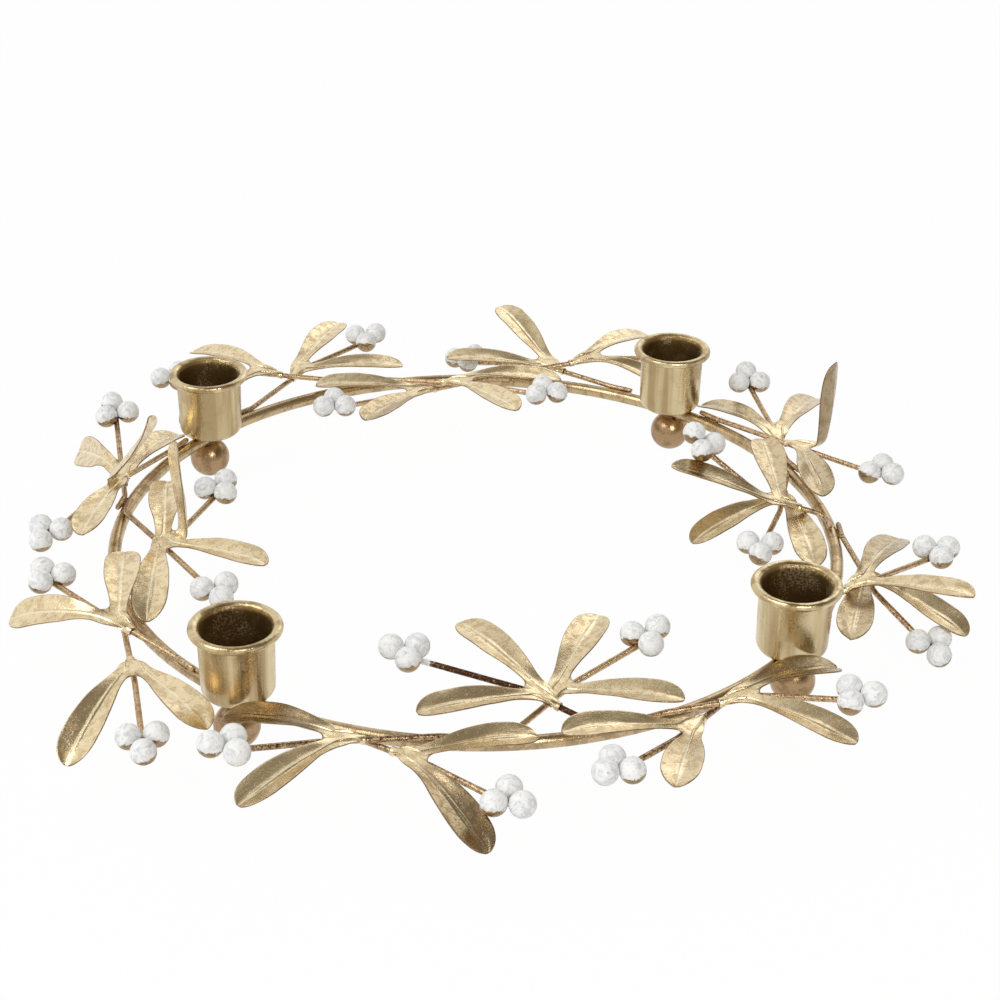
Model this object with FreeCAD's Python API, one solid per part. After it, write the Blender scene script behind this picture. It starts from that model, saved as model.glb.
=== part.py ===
# Candle ring: a hoop of round rod on four ball feet, with a candle cup over each foot
# and twelve crossed pairs of mistletoe sprigs welded on between the cups.
# The origin is the hoop's centre on the table, +Z is up and the front faces -Y.
import FreeCAD
import Part
import os
from math import acos, atan2, cos, degrees, hypot, radians, sin, sqrt, tan

Vector = FreeCAD.Vector
UP = Vector(0, 0, 1)
FULL_TURN = 360.0
HALF_TURN = 180.0

# Hoop of round rod
HOOP_DIAMETER = 254.0            # centre line of the rod
ROD_DIAMETER = 4.6
WELD_BITE = 0.2                  # depth of the saddle where the rod beds into a ball or cup

# Ball feet, welded under the rod
FOOT_DIAMETER = 15.0
FOOT_FLAT = 3.0                  # flat filed where the ball stands
FOOT_OFFSET = 1.5                # the balls stand this far outside the rod's centre line

# Candle cups, drawn from sheet with a rolled rim
CUP_STATIONS = (44.6, 134.8, 225.6, 315.2)
CUP_HEIGHT = 25.2
CUP_BORE = 22.4                  # for a household taper candle
CUP_MOUTH_WALL = 0.9
CUP_BASE_WALL = 0.5
CUP_FLOOR = 0.9
CUP_CORNER = 3.2                 # outer radius round the bottom edge
RIM_DIAMETER = 29.7
RIM_ROLL = 2.7                   # thickness of the rolled bead

# Sprig wire
WIRE_DIAMETER = 2.0
WIRE_LEAN = 40.0                 # place on the rod's side, degrees above level
UPPER_LEAN_STEP = 30.0           # how much higher on the rod an upper wire is welded
WELD_GAP = 0.15
STUB_LENGTH = 6.0                # free end of the wire past its weld
LEAD_LENGTH = 3.0                # length that still follows the rod after the weld
STEM_LENGTH = 32.0               # from the fork to the berries
BEND_RADIUS = 8.0
BEND_RUN_SHARE = 0.45            # a bend takes no more than this share of a run beside it
FORK_REACH = 15.0                # from the rod's centre line to a fork
FORK_RISE = 3.0                  # height of a lower fork over the rod's centre line
CROSSING_STEP = 3.6              # how much higher the upper wire of a crossed pair runs
STEM_BEND = 2.5                  # the stem turns this far past the fork

# Leaf pair, stamped from sheet in one piece with a tab folded round the wire
LEAF_LENGTH = 39.0
LEAF_WIDTH = 12.2
LEAF_SHEET = 0.8
LEAF_EDGE_SHEET = 0.5
LEAF_TROUGH = 1.5                # depth of the channel along the midrib
NECK_WIDTH = 5.6
CLEFT_RADIUS = 0.5
TAB_LENGTH = 11.0
SHOULDER_LENGTH = 8.0            # the web tapers to the tab's width over this length
TAB_WALL = 0.6
TAB_WRAP = 250.0                 # degrees of the wire that the tab goes round
TAB_CLEARANCE = 0.05
TAB_REACH_SHARE = 2.5            # how far the slot's cut runs past the sleeve

# Berries
BERRY_DIAMETER = 8.3
BERRY_GAP = 0.1
BERRY_LIFT = 2.2                 # the berries' centres stand this far over the wire
BERRY_SEAT = 0.04                # clearance of the groove over the wire

# Outline of one leaf, from its neck to its tip
LEAF_STATION_SHARES = (0.14, 0.30, 0.47, 0.64, 0.79, 0.90, 0.965, 1.0)
LEAF_WIDTH_SHARES = (0.47, 0.60, 0.80, 0.96, 1.0, 0.86, 0.60, 0.20)
LEAF_TROUGH_SHARES = (0.35, 0.80, 1.0, 1.0, 0.90, 0.65, 0.35, 0.05)
NECK_POLE_SHARE = 0.22
BLADE_POLE_SHARE = 0.62
TWIST_SHARE = 0.4                # a rolled leaf has its full twist by this station


def sprig(root, fork, out_share, level_share, stem, left, right, spin, stem_share=1.0):
    """One sprig's places, as degrees and as shares of the sizes above.

    root and fork are stations round the hoop. stem is the turn and rise of the berry stem.
    left and right are the leaves: turn from the wire, rise, share of the length, roll and bow.
    """
    return dict(root=root, fork=fork, out_share=out_share, level_share=level_share, stem=stem,
                stem_share=stem_share, leaves=(left, right), spin=spin)


# Each row is a crossed pair, in order round the hoop from the front
SPRIG_PAIR_SHARES = (
    (sprig(303, 288, 0.90, 0, (-5, 5), (25, 9, 0.97, 0, 0.08), (-34, 7, 0.98, 0, 0.08), -5),
     sprig(287, 299.5, 0.86, 1, (-22, 6), (23, -8, 0.95, 0, 0.1), (-46, -1, 0.97, 0, 0.05), 7)),
    (sprig(352, 337.8, 0.85, -0.9, (22, -15), (31, -7, 0.97, 0, 0.06), (-26, 1, 1, 0, 0.04), -12),
     sprig(330.5, 335, 0.86, 1.1, (24, -4), (47, -8, 1, 0, 0.06), (-51, 12, 1, 0, 0.06), -5)),
    (sprig(14, 2.3, -0.95, -0.6, (-8, -2), (19, -6, 1, 0, 0.05), (-43, -9, 1, 0, 0.08), 15),
     sprig(355.5, 359.2, -1.35, 1.3, (-20, 30), (0, 17, 0.98, 0, 0.05), (-79, 5, 1, 0, 0.05), -10)),
    (sprig(15.5, 26, 0.83, 0, (8, 10), (30, -9, 1, 0, 0.08), (-34, -6, 0.98, 0, 0.1), -8),
     sprig(35.5, 15, 0.65, 1, (3, 3), (-6, 81, 0.94, 17, -0.04), (-40, 1, 1, 0, 0.06), 0)),
    (sprig(76, 61.5, 1.05, 1, (-16, 2), (35, -8, 1, 0, 0.1), (-30, -16, 1, 0, 0.08), 0),
     sprig(55.5, 70.5, 0.95, -0.4, (18, -9), (34, 2, 1, 0, 0.05), (-21, 13, 1, 0, 0.06), 0, 1.05)),
    (sprig(100, 83, -1.15, 1, (-4, 1), (26, -6, 0.98, 0, 0.06), (-40, 6, 1, 0, 0.05), 2),
     sprig(78, 95.3, -1.10, 0, (-5, 0), (31, 6, 0.98, 0, 0.05), (-31, -1, 0.97, 0, 0.06), 10)),
    (sprig(125.5, 109.5, 1.35, 0, (-21, 5), (5, 3, 0.98, 0, 0.06), (-55, -1, 1, 0, 0.06), -7),
     sprig(103.5, 118.5, 1.40, 1, (8, -5), (40, -18, 1, 0, 0.05), (-39, -8, 1, 0, 0.06), 0)),
    (sprig(162.5, 153.7, 0.73, 0, (0, 14), (18, -16, 1, -55, 0.05), (-34.5, -5.5, 0.92, 0, 0.1), 12),
     sprig(143.2, 162.5, 0.50, 1.15, (-8, -12), (16, 0, 0.98, 5, 0.05), (-100, 122, 0.96, 16, 0.1), 13)),
    (sprig(189.5, 176, -1.35, -0.1, (0, 6), (30, 0, 1, 0, 0.05), (-20, 87, 0.95, -19, 0), 0),
     sprig(165.8, 184.5, -1.25, 1.1, (6, -4), (30, 4, 0.98, 0, 0.06), (-30, -9, 1, 0, 0.08), -12)),
    (sprig(214.5, 200.5, 0.70, 1, (-8, 0), (14, -15, 0.96, -28, 0.1), (-48, 1, 0.98, 0, 0.05), -10),
     sprig(193, 213.4, 1.20, 0, (-2, -8), (24, -2, 0.98, 0, 0.06), (-35, -17, 1, 0, 0.08), -2)),
    (sprig(257.8, 243.3, 1.05, 1, (11, 10), (34, -4, 1, 0, 0.06), (-35.5, -8, 0.97, 0, 0.1), -11),
     sprig(239, 255, 1.00, 0, (-5, -1), (49, -2, 0.95, 0, 0.06), (-21, -15, 1, 0, 0.08), 5)),
    (sprig(279.5, 270, -1.15, 1, (12, 5), (52, 3, 0.98, 0, 0.06), (-20, 5, 1, 0, 0.06), 0, 1.3),
     sprig(265.2, 277.5, -1.51, 0, (-22, 14), (15, 2, 1, 0, 0.06), (-71, 6, 0.98, 0, 0.06), 10)),
)

# Places that follow from the sizes above
hoop_radius = HOOP_DIAMETER / 2
rod_radius = ROD_DIAMETER / 2
foot_radius = FOOT_DIAMETER / 2
foot_height = sqrt(foot_radius ** 2 - (FOOT_FLAT / 2) ** 2)
hoop_height = foot_height + sqrt((foot_radius + rod_radius) ** 2 - FOOT_OFFSET ** 2) - WELD_BITE
cup_height = hoop_height + rod_radius - WELD_BITE
wire_radius = WIRE_DIAMETER / 2
tab_bore = wire_radius + TAB_CLEARANCE
tab_radius = tab_bore + TAB_WALL
web_height = tab_radius - TAB_WALL / 2 + LEAF_SHEET / 2
berry_radius = BERRY_DIAMETER / 2


def at_station(station, radius, height):
    """The point at a station round the hoop."""
    angle = radians(station)
    return Vector(radius * cos(angle), radius * sin(angle), height)


def direction(heading, rise):
    """The unit vector with a heading in plan and a rise above level."""
    level = cos(radians(rise))
    return Vector(level * cos(radians(heading)), level * sin(radians(heading)), sin(radians(rise)))


def heading_of(vector):
    return degrees(atan2(vector.y, vector.x))


def hoop():
    return Part.makeTorus(hoop_radius, rod_radius, Vector(0, 0, hoop_height), UP)


def ball_foot(station):
    """A ball with a small standing flat and a saddle for the rod."""
    centre = at_station(station, hoop_radius + FOOT_OFFSET, foot_height)
    ball = Part.makeSphere(foot_radius, centre)
    below = Part.makeCylinder(foot_radius, foot_radius, centre - UP * (foot_height + foot_radius))
    return ball.cut(below).cut(hoop())


def cup_profile():
    """Half of the cup's section: floor, drawn corner, wall, rolled bead, mouth and bore."""
    bore = CUP_BORE / 2
    base = bore + CUP_BASE_WALL
    mouth = bore + CUP_MOUTH_WALL
    roll = RIM_ROLL / 2
    bead = RIM_DIAMETER / 2 - roll
    flare = bead - bore
    inner_corner = CUP_CORNER - CUP_BASE_WALL
    slant = sqrt(0.5)

    def point(x, z):
        return Vector(x, 0, z)

    def around(x, z, radius, angle):
        return point(x + radius * cos(radians(angle)), z + radius * sin(radians(angle)))

    tuck = around(bead, CUP_HEIGHT - roll, roll, -135)
    shoulder = point(mouth, tuck.z - (tuck.x - mouth))
    floor_edge = point(base - CUP_CORNER, 0)
    corner_top = point(base, CUP_CORNER)
    corner_mid = point(base - CUP_CORNER * (1 - slant), CUP_CORNER * (1 - slant))
    crest = point(bead, CUP_HEIGHT)
    mouth_edge = point(bore, CUP_HEIGHT - flare)
    mouth_mid = around(bead, CUP_HEIGHT - flare, flare, 135)
    inner_top = point(bore, CUP_FLOOR + inner_corner)
    inner_mid = around(bore - inner_corner, CUP_FLOOR + inner_corner, inner_corner, -45)
    inner_edge = point(bore - inner_corner, CUP_FLOOR)
    edges = [
        Part.makeLine(point(0, 0), floor_edge),
        Part.Arc(floor_edge, corner_mid, corner_top).toShape(),
        Part.makeLine(corner_top, shoulder),
        Part.makeLine(shoulder, tuck),
        Part.Arc(tuck, around(bead, CUP_HEIGHT - roll, roll, -22.5), crest).toShape(),
        Part.Arc(crest, mouth_mid, mouth_edge).toShape(),
        Part.makeLine(mouth_edge, inner_top),
        Part.Arc(inner_top, inner_mid, inner_edge).toShape(),
        Part.makeLine(inner_edge, point(0, CUP_FLOOR)),
        Part.makeLine(point(0, CUP_FLOOR), point(0, 0)),
    ]
    return Part.Face(Part.Wire(edges))


def candle_cup(station):
    cup = cup_profile().revolve(Vector(0, 0, 0), UP, FULL_TURN)
    cup.translate(at_station(station, hoop_radius, cup_height))
    return cup.cut(hoop())


def sprig_route(row):
    """The wire's corner points, its direction at the fork and that of the stem."""
    side = 1 if row["out_share"] > 0 else -1
    reach = rod_radius + wire_radius + WELD_GAP
    lean = radians(WIRE_LEAN + (UPPER_LEAN_STEP if row["level_share"] > 0 else 0))
    contact = at_station(
        row["root"], hoop_radius + side * reach * cos(lean), hoop_height + reach * sin(lean))
    turn = (row["fork"] - row["root"] + HALF_TURN) % FULL_TURN - HALF_TURN
    along = direction(row["root"] + (90 if turn > 0 else -90), 0)
    fork = at_station(
        row["fork"],
        hoop_radius + row["out_share"] * FORK_REACH,
        hoop_height + FORK_RISE + row["level_share"] * CROSSING_STEP)
    lift = contact + along * LEAD_LENGTH
    axis = (fork - lift).normalize()
    bend = fork + axis * STEM_BEND
    turn, rise = row["stem"]
    stem = direction(heading_of(axis) + turn, rise)
    berry_end = bend + stem * (STEM_LENGTH * row["stem_share"] - STEM_BEND)
    return [contact - along * STUB_LENGTH, lift, bend, berry_end], fork, axis, stem


def bent_wire(points, radius):
    """A round wire through the points, with each corner bent to an arc."""
    edges = []
    start = points[0]
    for before, corner, after in zip(points, points[1:], points[2:]):
        into = (corner - before).normalize()
        out = (after - corner).normalize()
        half = acos(max(-1.0, min(1.0, into.dot(out)))) / 2
        run = min((corner - before).Length, (after - corner).Length)
        trim = min(BEND_RUN_SHARE * run, BEND_RADIUS * tan(half))
        first = corner - into * trim
        last = corner + out * trim
        bisector = (out - into).normalize()
        bend = trim / tan(half)
        middle = corner + bisector * (hypot(bend, trim) - bend)
        edges.append(Part.makeLine(start, first))
        edges.append(Part.Arc(first, middle, last).toShape())
        start = last
    edges.append(Part.makeLine(start, points[-1]))
    path = Part.Wire(edges)
    section = Part.Wire(Part.makeCircle(radius, points[0], points[1] - points[0]))
    return path.makePipeShell([section], True, False)


def leaf_section(centre, side, normal, half_width, trough, sheet, edge_sheet):
    """The thin V section of a leaf: a low midrib and two raised edges."""
    near = centre + side * half_width + normal * trough
    far = centre - side * half_width + normal * trough
    rim = normal * (edge_sheet / 2)
    rib = normal * (sheet / 2)
    corners = [near + rim, centre + rib, far + rim, far - rim, centre - rib, near - rim]
    return Part.makePolygon(corners + corners[:1])


def neck_section(pivot, side, lifted):
    """The flat section where a leaf grows out of the web, at one side of the cleft."""
    centre = pivot - side * (NECK_WIDTH / 2 + CLEFT_RADIUS)
    return leaf_section(centre, side, lifted, NECK_WIDTH / 2, 0, LEAF_SHEET, LEAF_EDGE_SHEET)


def leaf_blade(pivot, axis, lifted, leaf, hand):
    """One leaf from its neck to its tip. hand is 1 for the left leaf and -1 for the right."""
    turn, rise, length_share, roll, bow_share = leaf
    heading = heading_of(axis) + turn
    length = LEAF_LENGTH * length_share
    neck_side = FreeCAD.Rotation(lifted, turn - hand * 90).multVec(axis)
    neck_way = FreeCAD.Rotation(lifted, turn).multVec(axis)
    base = pivot - neck_side * (NECK_WIDTH / 2 + CLEFT_RADIUS)
    level_side = direction(heading - hand * 90, 0)
    blade_way = direction(heading, rise)
    blade_normal = direction(heading, rise + 90)
    spine = Part.BezierCurve()
    spine.setPoles([
        base,
        base + neck_way * (length * NECK_POLE_SHARE),
        base + blade_way * (length * BLADE_POLE_SHARE) + blade_normal * (length * bow_share),
        base + blade_way * length,
    ])
    sections = [neck_section(pivot, neck_side, lifted)]
    for station, width, trough in zip(LEAF_STATION_SHARES, LEAF_WIDTH_SHARES, LEAF_TROUGH_SHARES):
        tangent = Vector(*spine.tangent(station)[0])
        twist = FreeCAD.Rotation(tangent, roll * min(1.0, station / TWIST_SHARE))
        side = twist.multVec(level_side)
        normal = tangent.cross(side).normalize() * hand * -1
        sections.append(leaf_section(
            spine.value(station), side, normal, LEAF_WIDTH / 2 * width, LEAF_TROUGH * trough,
            LEAF_SHEET, LEAF_EDGE_SHEET))
    return Part.makeLoft(sections, True, True)


def leaf_pair(row):
    """Two leaves and their web as one stamping, with the tab folded round the wire."""
    _, fork, axis, _ = sprig_route(row)
    lifted = axis.cross(UP.cross(axis)).normalize()
    pivot = fork + lifted * web_height
    left, right = row["leaves"]
    web_side = FreeCAD.Rotation(lifted, left[0] - 90).multVec(axis)
    web = Part.Face(neck_section(pivot, web_side, lifted))
    web = web.revolve(pivot, lifted, right[0] - left[0] + HALF_TURN)
    return leaf_blade(pivot, axis, lifted, left, 1).fuse([
        web,
        leaf_blade(pivot, axis, lifted, right, -1),
        web_shoulder(pivot, axis, lifted, left[0], right[0]),
        folded_tab(fork, axis, lifted),
    ])


def web_shoulder(pivot, axis, lifted, left_turn, right_turn):
    """The flat plate that narrows from the two necks to the tab."""
    reach = CLEFT_RADIUS + NECK_WIDTH
    across = lifted.cross(axis) * tab_radius
    back = pivot - axis * SHOULDER_LENGTH
    left = pivot + FreeCAD.Rotation(lifted, left_turn + 90).multVec(axis) * reach
    right = pivot + FreeCAD.Rotation(lifted, right_turn - 90).multVec(axis) * reach
    heel = pivot - axis * CLEFT_RADIUS
    outline = Part.makePolygon([heel, left, back + across, back - across, right, heel])
    plate = Part.Face(outline).extrude(lifted * LEAF_EDGE_SHEET)
    plate.translate(lifted * (LEAF_EDGE_SHEET / -2))
    return plate


def folded_tab(fork, axis, lifted):
    """A sleeve of sheet, open below, from the fork back along the wire."""
    start = fork - axis * TAB_LENGTH
    sleeve = Part.makeCylinder(tab_radius, TAB_LENGTH, start, axis)
    bore = Part.makeCylinder(tab_bore, TAB_LENGTH, start, axis)
    half_opening = (FULL_TURN - TAB_WRAP) / 2
    reach = TAB_REACH_SHARE * tab_radius
    slot = Part.makePolygon([
        start,
        start + FreeCAD.Rotation(axis, -half_opening).multVec(lifted) * -reach,
        start - lifted * reach,
        start + FreeCAD.Rotation(axis, half_opening).multVec(lifted) * -reach,
        start,
    ])
    return sleeve.cut([bore, Part.Face(slot).extrude(axis * TAB_LENGTH)])


def berries(row):
    """Three touching berries round the stem's end, grooved where the wire runs in."""
    points, _, _, stem = sprig_route(row)
    end = points[-1]
    side = UP.cross(stem).normalize()
    lifted = stem.cross(side).normalize()
    heart = end + lifted * BERRY_LIFT
    spread = (BERRY_DIAMETER + BERRY_GAP) / sqrt(3)
    groove = Part.makeCylinder(wire_radius + BERRY_SEAT, STEM_LENGTH, end - stem * STEM_LENGTH, stem)
    cluster = []
    for third in range(3):
        angle = radians(row["spin"] + third * FULL_TURN / 3)
        outward = side if sin(angle) > 0 else -side
        berry = Part.makeSphere(berry_radius)
        berry.Placement = FreeCAD.Placement(
            heart + stem * (spread * cos(angle)) + side * (spread * sin(angle)),
            FreeCAD.Rotation(outward, Vector(), lifted, "ZXY"))
        cluster.append(berry.cut(groove))
    return cluster


def write(name, *solids):
    shape = solids[0] if len(solids) == 1 else Part.makeCompound(solids)
    shape.exportStep("parts/" + name + ".step")


os.makedirs("parts", exist_ok=True)
write("base_ring", hoop())
for number, station in enumerate(CUP_STATIONS, 1):
    write("candle_cup_%d" % number, candle_cup(station))
    write("ball_foot_%d" % number, ball_foot(station))
leaf_number = 0
for pair_number, pair in enumerate(SPRIG_PAIR_SHARES, 1):
    wires = [bent_wire(sprig_route(row)[0], wire_radius) for row in pair]
    write("twig_pair_%02d" % pair_number, *wires)
    write("berries_%02d" % pair_number, *(berries(pair[0]) + berries(pair[1])))
    for row in pair:
        leaf_number += 1
        write("leaf_pair_%02d" % leaf_number, leaf_pair(row))
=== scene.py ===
from collections import namedtuple
from math import acos, atan2, cos, degrees, hypot, pi, radians, sin, sqrt, tan

import bmesh
import bpy
from mathutils import Matrix, Quaternion, Vector, noise


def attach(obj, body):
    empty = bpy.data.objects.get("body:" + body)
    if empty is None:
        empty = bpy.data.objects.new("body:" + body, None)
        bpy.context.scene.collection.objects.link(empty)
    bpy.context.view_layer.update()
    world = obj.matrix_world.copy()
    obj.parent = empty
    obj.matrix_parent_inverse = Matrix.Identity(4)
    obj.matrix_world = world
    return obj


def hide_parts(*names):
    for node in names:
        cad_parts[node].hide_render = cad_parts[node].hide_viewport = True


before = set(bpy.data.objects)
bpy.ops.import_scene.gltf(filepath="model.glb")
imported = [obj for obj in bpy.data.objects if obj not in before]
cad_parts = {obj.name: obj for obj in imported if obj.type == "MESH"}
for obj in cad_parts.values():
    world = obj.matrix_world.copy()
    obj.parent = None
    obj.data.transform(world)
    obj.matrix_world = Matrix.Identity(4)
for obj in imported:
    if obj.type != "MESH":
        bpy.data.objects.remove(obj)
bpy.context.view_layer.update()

# The view. The camera stands a little left of the front and looks down at the ring,
# from a place and with a lens worked out from the four rims and the hoop.
MILLIMETRE = 0.001
CAMERA_AZIMUTH = 9.54
CAMERA_ELEVATION = 28.93
CAMERA_ROLL = 0.99
CAMERA_DISTANCE = 794.78
CAMERA_TARGET = Vector((11.53, 19.42, 20.0))
CAMERA_LENS = 78.86
SENSOR_WIDTH = 36
NEAREST_SEEN = 0.01


def facing(way, axis="Z", top="Y"):
    """The turn that points an axis along a way."""
    return way.to_track_quat(axis, top).to_matrix().to_4x4()


azimuth, elevation = radians(CAMERA_AZIMUTH), radians(CAMERA_ELEVATION)
away = Vector((-sin(azimuth) * cos(elevation), -cos(azimuth) * cos(elevation), sin(elevation)))
camera = bpy.data.objects.new("camera", bpy.data.cameras.new("camera"))
camera.data.sensor_width = SENSOR_WIDTH
camera.data.lens = CAMERA_LENS
camera.data.clip_start = NEAREST_SEEN
camera.matrix_world = (Matrix.Translation((CAMERA_TARGET + away * CAMERA_DISTANCE) * MILLIMETRE)
                       @ facing(away) @ Matrix.Rotation(radians(CAMERA_ROLL), 4, "Z"))
bpy.context.scene.collection.objects.link(camera)
bpy.context.scene.camera = camera


# The hoop. One round brass rod bent to a ring and butt welded, with a brown bronze patina
# that has rubbed through to paler metal in small flecks. It lies on the four ball feet.
HOOP_RADIUS = 127.0
ROD_RADIUS = 2.3
ROD_SIDES = 24
HOOP_STEPS = 300
FOOT_RADIUS = 7.5
FOOT_FLAT_RADIUS = 1.5
FOOT_OFFSET = 1.5
WELD_BITE = 0.2
FOOT_HEIGHT = sqrt(FOOT_RADIUS ** 2 - FOOT_FLAT_RADIUS ** 2)
HOOP_HEIGHT = FOOT_HEIGHT + sqrt((FOOT_RADIUS + ROD_RADIUS) ** 2 - FOOT_OFFSET ** 2) - WELD_BITE
GRAIN_DEPTH = 0.0003
PATCH_EDGE = (0.48, 0.60)
VEIN_WIDTH = 0.022
PATCH_DULLNESS = 0.12
PIT_DULLNESS = 0.15
PIT_DEPTH = 0.5
UP = Vector((0, 0, 1))


def colour(red, green, blue):
    """A colour as it is seen on screen, 0 to 255, turned to the values that light adds up in."""
    return tuple((c / 255 / 12.92 if c < 10 else ((c / 255 + 0.055) / 1.055) ** 2.4)
                 for c in (red, green, blue)) + (1.0,)


def feed(tree, made, inputs):
    """Sets a node's inputs. Each is given as a value, or as the socket that feeds it."""
    for name, value in inputs.items():
        if isinstance(value, bpy.types.NodeSocket):
            tree.links.new(value, made.inputs[name])
        else:
            made.inputs[name].default_value = value
    return made


def node(tree, kind, inputs, **settings):
    """Adds a shader node with its settings and its inputs."""
    made = tree.nodes.new("ShaderNode" + kind)
    for name, value in settings.items():
        setattr(made, name, value)
    return feed(tree, made, inputs)


def speckle(tree, place, scale, detail=2.0, roughness=0.5, distortion=0.0):
    """Soft irregular spots, as a value that lies round a half."""
    return node(tree, "TexNoise", {
        "Vector": place, "Scale": scale, "Detail": detail,
        "Roughness": roughness, "Distortion": distortion}).outputs["Fac"]


def between(tree, value, low, high, start=0.0, end=1.0, smooth=False):
    """Stretches the range from low to high over the range from start to end."""
    return node(tree, "MapRange", {
        "Value": value, "From Min": low, "From Max": high, "To Min": start, "To Max": end},
        interpolation_type="SMOOTHSTEP" if smooth else "LINEAR").outputs["Result"]


def maths(tree, operation, *values):
    """The result of one sum, whose terms are values or sockets."""
    return node(tree, "Math", dict(enumerate(values)), operation=operation).outputs[0]


def mixed(tree, share, first, second):
    """The first colour, going over to the second as the share rises."""
    blend = node(tree, "Mix", {"Factor": share, "A": first, "B": second}, data_type="RGBA")
    return blend.outputs["Result"]


def mottling():
    """Aged metal: broad patches with thin dark lines round them, fine grain and dark pits."""
    group = bpy.data.node_groups.new("mottled_metal", "ShaderNodeTree")
    for name, kind, value in (
            ("Metal", "NodeSocketColor", (0.5, 0.4, 0.2, 1)),
            ("Patches", "NodeSocketColor", (0.3, 0.2, 0.1, 1)),
            ("Rubbed", "NodeSocketColor", (0.8, 0.7, 0.5, 1)),
            ("Pits", "NodeSocketColor", (0.05, 0.03, 0.02, 1)),
            ("Patch Scale", "NodeSocketFloat", 260.0),
            ("Patch Amount", "NodeSocketFloat", 0.6),
            ("Grain Scale", "NodeSocketFloat", 1700.0),
            ("Grain Amount", "NodeSocketFloat", 0.4),
            ("Pit Amount", "NodeSocketFloat", 0.3),
            ("Vein Amount", "NodeSocketFloat", 0.0),
            ("Gloss", "NodeSocketFloat", 0.35)):
        group.interface.new_socket(name, in_out="INPUT", socket_type=kind).default_value = value
    for name, kind in (("Color", "NodeSocketColor"), ("Roughness", "NodeSocketFloat"),
                       ("Height", "NodeSocketFloat")):
        group.interface.new_socket(name, in_out="OUTPUT", socket_type=kind)
    given = group.nodes.new("NodeGroupInput").outputs
    place = node(group, "TexCoord", {}).outputs["Object"]

    blotches = speckle(group, place, given["Patch Scale"], detail=7.0, roughness=0.62, distortion=0.4)
    patches = between(group, blotches, *PATCH_EDGE, smooth=True)
    from_edge = maths(group, "ABSOLUTE", maths(group, "SUBTRACT", blotches, sum(PATCH_EDGE) / 2))
    veins = maths(group, "SUBTRACT", 1.0, between(group, from_edge, 0.0, VEIN_WIDTH, smooth=True))
    grain = speckle(group, place, given["Grain Scale"], detail=3.0, roughness=0.7)
    flecks = between(group, grain, low=0.42, high=0.66, smooth=True)
    holes = speckle(group, place, scale=900.0, detail=4.0, roughness=0.75, distortion=0.6)
    pits = between(group, holes, low=0.60, high=0.72, smooth=True)
    skin = given["Metal"]
    for spread, amount, tint in ((patches, "Patch Amount", "Patches"), (flecks, "Grain Amount", "Rubbed"),
                                 (veins, "Vein Amount", "Pits"), (pits, "Pit Amount", "Pits")):
        skin = mixed(group, maths(group, "MULTIPLY", spread, given[amount]), skin, given[tint])
    dull = maths(group, "MULTIPLY_ADD", patches, PATCH_DULLNESS, given["Gloss"])
    dull = maths(group, "MULTIPLY_ADD", pits, PIT_DULLNESS, dull)
    height = maths(group, "MULTIPLY_ADD", pits, -PIT_DEPTH, grain)
    feed(group, group.nodes.new("NodeGroupOutput"), {"Color": skin, "Roughness": dull, "Height": height})
    return group


mottled_metal = mottling()


def metal(name, bump, **finish):
    """A metal finish of this object, with the mottling group set to its own values."""
    material = bpy.data.materials.new(name)
    material.use_nodes = True
    tree = material.node_tree
    values = {socket.replace("_", " ").title(): value for socket, value in finish.items()}
    mottled = node(tree, "Group", values, name="mottling", node_tree=mottled_metal).outputs
    relief = node(tree, "Bump", {
        "Strength": bump, "Distance": GRAIN_DEPTH, "Height": mottled["Height"]}, name="relief")
    feed(tree, tree.nodes["Principled BSDF"], {
        "Metallic": 1.0, "Base Color": mottled["Color"], "Roughness": mottled["Roughness"],
        "Normal": relief.outputs["Normal"]})
    return material


def piece(name, shape, material, slot, *nodes):
    """Puts a finished bmesh, in millimetres, into the scene as one piece on the ring."""
    bmesh.ops.scale(shape, vec=(MILLIMETRE,) * 3, verts=shape.verts)
    mesh = bpy.data.meshes.new(name)
    shape.to_mesh(mesh)
    shape.free()
    mesh.shade_smooth()
    mesh.materials.append(material)
    solid = bpy.data.objects.new(name, mesh)
    bpy.context.scene.collection.objects.link(solid)
    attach(solid, "root")
    if nodes:
        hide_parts(*nodes)
    return solid


rod_bronze = metal(
    "rod_bronze", bump=0.25, metal=colour(188, 164, 126), patches=colour(140, 112, 80),
    rubbed=colour(228, 208, 170), pits=colour(84, 60, 38), patch_scale=190.0, patch_amount=0.65,
    grain_amount=0.35, pit_amount=0.3, vein_amount=0.25, gloss=0.24)

rod = bmesh.new()
section_place = Matrix.Translation((HOOP_RADIUS, 0, HOOP_HEIGHT)) @ Matrix.Rotation(pi / 2, 4, "X")
bmesh.ops.create_circle(rod, segments=ROD_SIDES, radius=ROD_RADIUS, matrix=section_place)
bmesh.ops.spin(rod, geom=rod.edges[:], axis=UP, cent=(0, 0, 0), angle=2 * pi,
               steps=HOOP_STEPS, use_merge=True)
bmesh.ops.recalc_face_normals(rod, faces=rod.faces[:])
piece("hoop", rod, rod_bronze, "rod_metal", "base_ring")


# Ball feet. Four solid bronze balls soldered under the rod, just outside its centre line,
# each with a small flat where it stands. Brown solder shows below and above the rod.
CUP_STATIONS = (44.6, 134.8, 225.6, 315.2)
BALL_SIDES = 64
BALL_RINGS = 40
UNDER_SOLDER = (3.12, 2.08, 0.9)
OVER_SOLDER = (3.9, 1.95, 0.7)
UNDER_SOLDER_OUT = 0.3
UNDER_SOLDER_DROP = 0.1
LUMP_SHARE = 0.28
LUMP_PITCH = 0.9
OVER_LUMPS = 3


def at_station(station, radius, height):
    """The place at an angle round the ring, in degrees from the right."""
    return Vector((radius * cos(radians(station)), radius * sin(radians(station)), height))


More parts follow.
